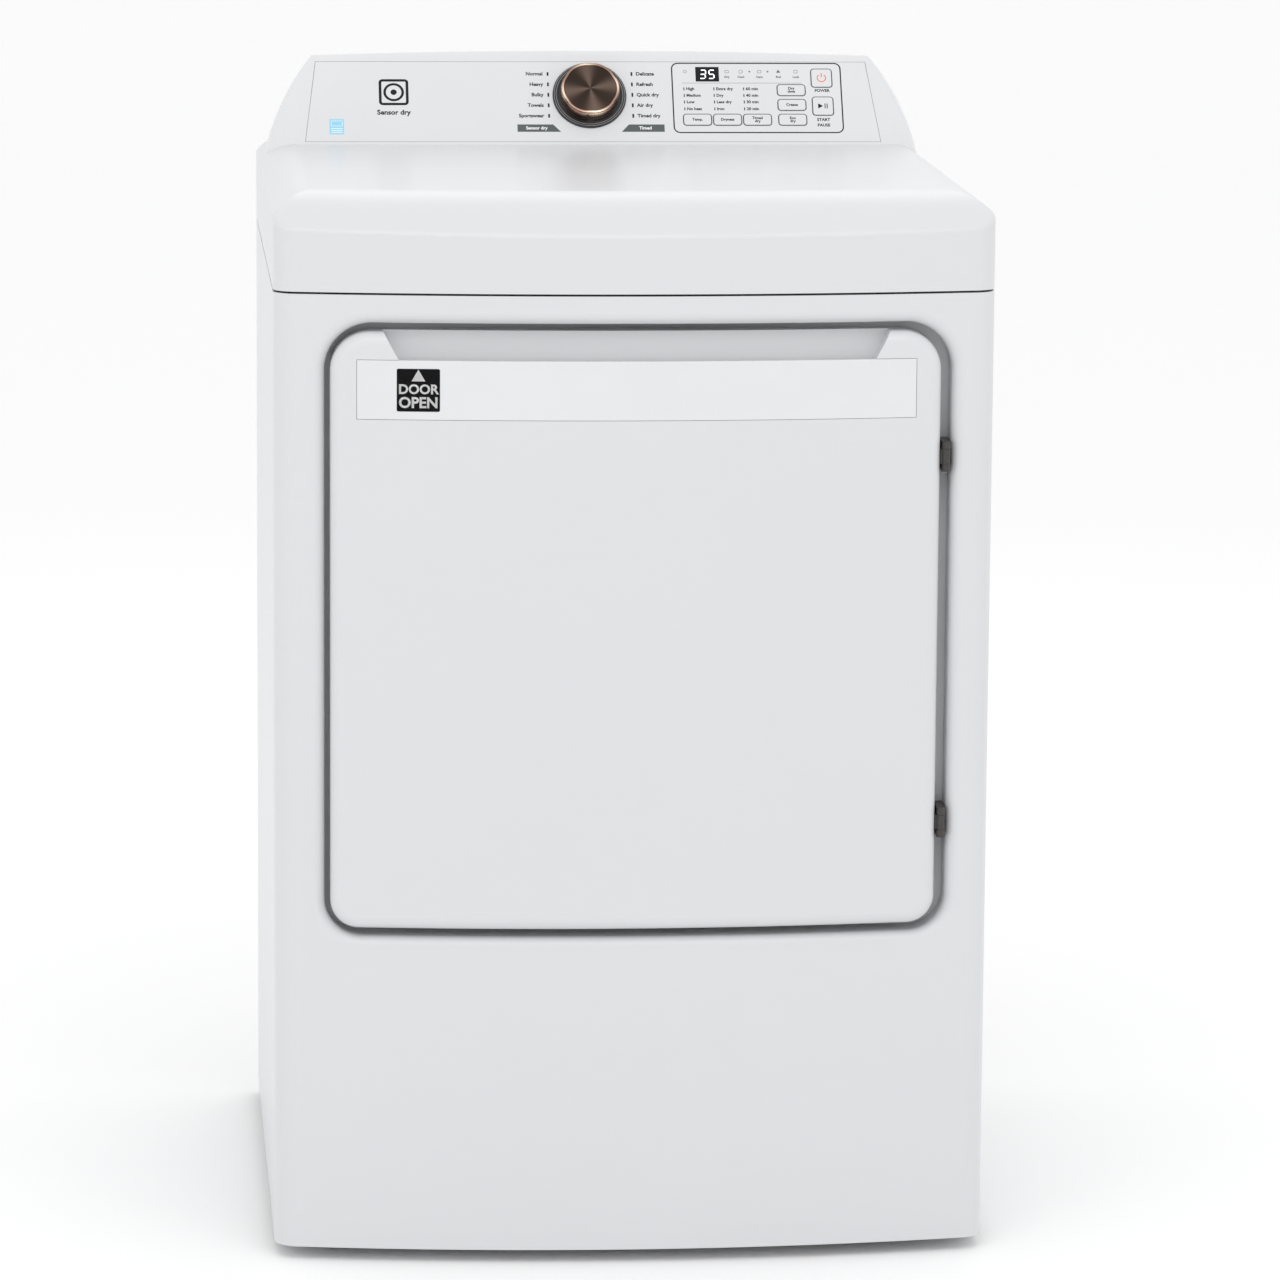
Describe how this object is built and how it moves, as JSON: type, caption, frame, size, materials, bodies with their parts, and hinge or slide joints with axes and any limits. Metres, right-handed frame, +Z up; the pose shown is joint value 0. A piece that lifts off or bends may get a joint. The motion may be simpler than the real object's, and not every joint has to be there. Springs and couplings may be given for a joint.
{
  "type": "clothes dryer",
  "caption": "Front-loading vented clothes dryer with a bowed front, side-hinged door with a finger scoop, rear console with knob, keys and display, tumbling drum and air path.",
  "frame": {"origin": "on the floor, half-way across the width and half-way along the depth from the face of the door to the end of the exhaust stub", "axes": "+Z up, -Y is the front of the machine, +X the hinge side of the door"},
  "size_m": [0.686, 0.76, 1.1167],
  "materials": {
    "white_enamel": "glossy baked enamel",
    "galvanised_steel": "satin zinc-coated sheet",
    "white_plastic": "smooth gloss moulding",
    "drum_enamel": "satin powder coat",
    "grey_plastic": "fine matte texture",
    "grey_rubber": "matte",
    "roller_rubber": "matte",
    "belt_rubber": "matte, fine ribs on the inner face",
    "felt": "pressed felt",
    "motor_metal": "cast end bells and stack",
    "heater_wire": "oxidised wire on ceramic",
    "hinge_metal": "dark satin",
    "bronze_finish": "radially brushed bronze with a polished rim",
    "dark_gloss": "gloss",
    "display_glass": "clear over black",
    "board": "circuit board",
    "foot_steel": "zinc-plated screw and pad",
    "spring_steel": "plain"
  },
  "bodies": {
    "cabinet": {"base_pan": "galvanised_steel", "blower_housing": "grey_plastic", "cabinet_screws": "galvanised_steel", "console_housing": "white_plastic", "control_board": "board", "control_fascia": "white_plastic", "display_window": "display_glass", "door_catch": "grey_plastic", "door_switch": "grey_plastic", "drive_belt": "belt_rubber", "exhaust_pipe": "galvanised_steel", "felt_seals": "felt", "front_bulkhead": "galvanised_steel", "front_panel": "white_enamel", "heater_coil": "heater_wire", "heater_housing": "galvanised_steel", "hinge_brackets": "hinge_metal", "knob_ring": "dark_gloss", "left_side_panel": "white_enamel", "lint_duct": "grey_plastic", "moisture_sensor_bars": "galvanised_steel", "motor_case": "motor_metal", "motor_cradle": "galvanised_steel", "rear_bulkhead": "galvanised_steel", "rear_panel": "galvanised_steel", "right_side_panel": "white_enamel", "roller_shafts": "galvanised_steel", "tension_spring": "spring_steel", "terminal_block": "grey_plastic", "terminal_cover": "galvanised_steel", "top_panel": "white_enamel"},
    "door": {"door_outer_panel": "white_enamel", "door_handle_strip": "white_plastic", "door_inner_panel": "white_plastic", "door_seal": "grey_rubber", "door_strike": "galvanised_steel", "door_hinge_straps": "hinge_metal"},
    "drum": {"drum_shell": "drum_enamel", "drum_lifters": "white_plastic"},
    "left_roller": {"drum_roller_left": "roller_rubber"},
    "right_roller": {"drum_roller_right": "roller_rubber"},
    "rotor": {"motor_shaft": "galvanised_steel", "blower_wheel": "grey_plastic"},
    "idler": {"idler_arm": "galvanised_steel"},
    "idler_wheel": {"idler_pulley": "grey_plastic"},
    "knob": {"control_knob": "bronze_finish"},
    "filter": {"lint_filter": "grey_plastic"},
    "plunger": {"switch_plunger": "grey_plastic"},
    "key_dry_time": {"key_dry_time": "white_plastic"},
    "key_dryness": {"key_dryness": "white_plastic"},
    "key_eco_dry": {"key_eco_dry": "white_plastic"},
    "key_power": {"key_power": "white_plastic"},
    "key_start": {"key_start": "white_plastic"},
    "key_temperature": {"key_temperature": "white_plastic"},
    "key_timed_dry": {"key_timed_dry": "white_plastic"},
    "key_wrinkle_care": {"key_wrinkle_care": "white_plastic"},
    "foot_front_left": {"foot_front_left": "foot_steel"},
    "foot_front_right": {"foot_front_right": "foot_steel"},
    "foot_rear_left": {"foot_rear_left": "foot_steel"},
    "foot_rear_right": {"foot_rear_right": "foot_steel"}
  },
  "joints": [
    {"name": "door_hinge", "type": "hinge", "parent": "cabinet", "child": "door", "pos_m": [0.2955, -0.351, 0.6135], "axis": [0, 0, 1], "range_deg": [0, 135]},
    {"name": "drum_spin", "type": "hinge", "parent": "cabinet", "child": "drum", "pos_m": [0, 0, 0.595], "axis": [0, 1, 0], "continuous": true},
    {"name": "left_roller_spin", "type": "hinge", "parent": "cabinet", "child": "left_roller", "pos_m": [-0.17615, 0.2552, 0.2899], "axis": [0, 1, 0], "continuous": true},
    {"name": "right_roller_spin", "type": "hinge", "parent": "cabinet", "child": "right_roller", "pos_m": [0.17615, 0.2552, 0.2899], "axis": [0, 1, 0], "continuous": true},
    {"name": "motor_spin", "type": "hinge", "parent": "cabinet", "child": "rotor", "pos_m": [0.13, -0.1, 0.125], "axis": [0, 1, 0], "continuous": true},
    {"name": "idler_swing", "type": "hinge", "parent": "cabinet", "child": "idler", "pos_m": [0.078, 0.0055, 0.07], "axis": [0, -1, 0], "range_deg": [0, 12], "stiffness_Nm_per_rad": 2, "springref_deg": -17.19, "deforming": ["tension_spring"]},
    {"name": "idler_spin", "type": "hinge", "parent": "idler", "child": "idler_wheel", "pos_m": [0.065, 0.022, 0.163], "axis": [0, 1, 0], "continuous": true},
    {"name": "knob_turn", "type": "hinge", "parent": "cabinet", "child": "knob", "pos_m": [-0.003, 0.23393, 1.07896], "axis": [0, -0.829, 0.5592], "continuous": true},
    {"name": "filter_lift", "type": "slide", "parent": "cabinet", "child": "filter", "axis": [0, 0, 1], "range_m": [0, 0.2]},
    {"name": "plunger_slide", "type": "slide", "parent": "cabinet", "child": "plunger", "axis": [0, -1, 0], "range_m": [0, 0.0041]},
    {"name": "key_dry_time_press", "type": "slide", "parent": "cabinet", "child": "key_dry_time", "axis": [0, 0.829, -0.5592], "range_m": [0, 0.001], "stiffness_N_per_m": 300, "springref_m": -0.001},
    {"name": "key_dryness_press", "type": "slide", "parent": "cabinet", "child": "key_dryness", "axis": [0, 0.829, -0.5592], "range_m": [0, 0.001], "stiffness_N_per_m": 300, "springref_m": -0.001},
    {"name": "key_eco_dry_press", "type": "slide", "parent": "cabinet", "child": "key_eco_dry", "axis": [0, 0.829, -0.5592], "range_m": [0, 0.001], "stiffness_N_per_m": 300, "springref_m": -0.001},
    {"name": "key_power_press", "type": "slide", "parent": "cabinet", "child": "key_power", "axis": [0, 0.829, -0.5592], "range_m": [0, 0.001], "stiffness_N_per_m": 300, "springref_m": -0.001},
    {"name": "key_start_press", "type": "slide", "parent": "cabinet", "child": "key_start", "axis": [0, 0.829, -0.5592], "range_m": [0, 0.001], "stiffness_N_per_m": 300, "springref_m": -0.001},
    {"name": "key_temperature_press", "type": "slide", "parent": "cabinet", "child": "key_temperature", "axis": [0, 0.829, -0.5592], "range_m": [0, 0.001], "stiffness_N_per_m": 300, "springref_m": -0.001},
    {"name": "key_timed_dry_press", "type": "slide", "parent": "cabinet", "child": "key_timed_dry", "axis": [0, 0.829, -0.5592], "range_m": [0, 0.001], "stiffness_N_per_m": 300, "springref_m": -0.001},
    {"name": "key_wrinkle_care_press", "type": "slide", "parent": "cabinet", "child": "key_wrinkle_care", "axis": [0, 0.829, -0.5592], "range_m": [0, 0.001], "stiffness_N_per_m": 300, "springref_m": -0.001},
    {"name": "foot_front_left_level", "type": "slide", "parent": "cabinet", "child": "foot_front_left", "axis": [0, 0, -1], "range_m": [0, 0.015]},
    {"name": "foot_front_right_level", "type": "slide", "parent": "cabinet", "child": "foot_front_right", "axis": [0, 0, -1], "range_m": [0, 0.015]},
    {"name": "foot_rear_left_level", "type": "slide", "parent": "cabinet", "child": "foot_rear_left", "axis": [0, 0, -1], "range_m": [0, 0.015]},
    {"name": "foot_rear_right_level", "type": "slide", "parent": "cabinet", "child": "foot_rear_right", "axis": [0, 0, -1], "range_m": [0, 0.015]}
  ],
  "couplings": [
    {"joint": "motor_spin", "follows": "drum_spin", "ratio": 29.091},
    {"joint": "left_roller_spin", "follows": "drum_spin", "ratio": -10},
    {"joint": "right_roller_spin", "follows": "drum_spin", "ratio": -10},
    {"joint": "idler_spin", "follows": "drum_spin", "ratio": -17.778},
    {"joint": "plunger_slide", "follows": "door_hinge", "m_per_rad": 0.0017}
  ]
}
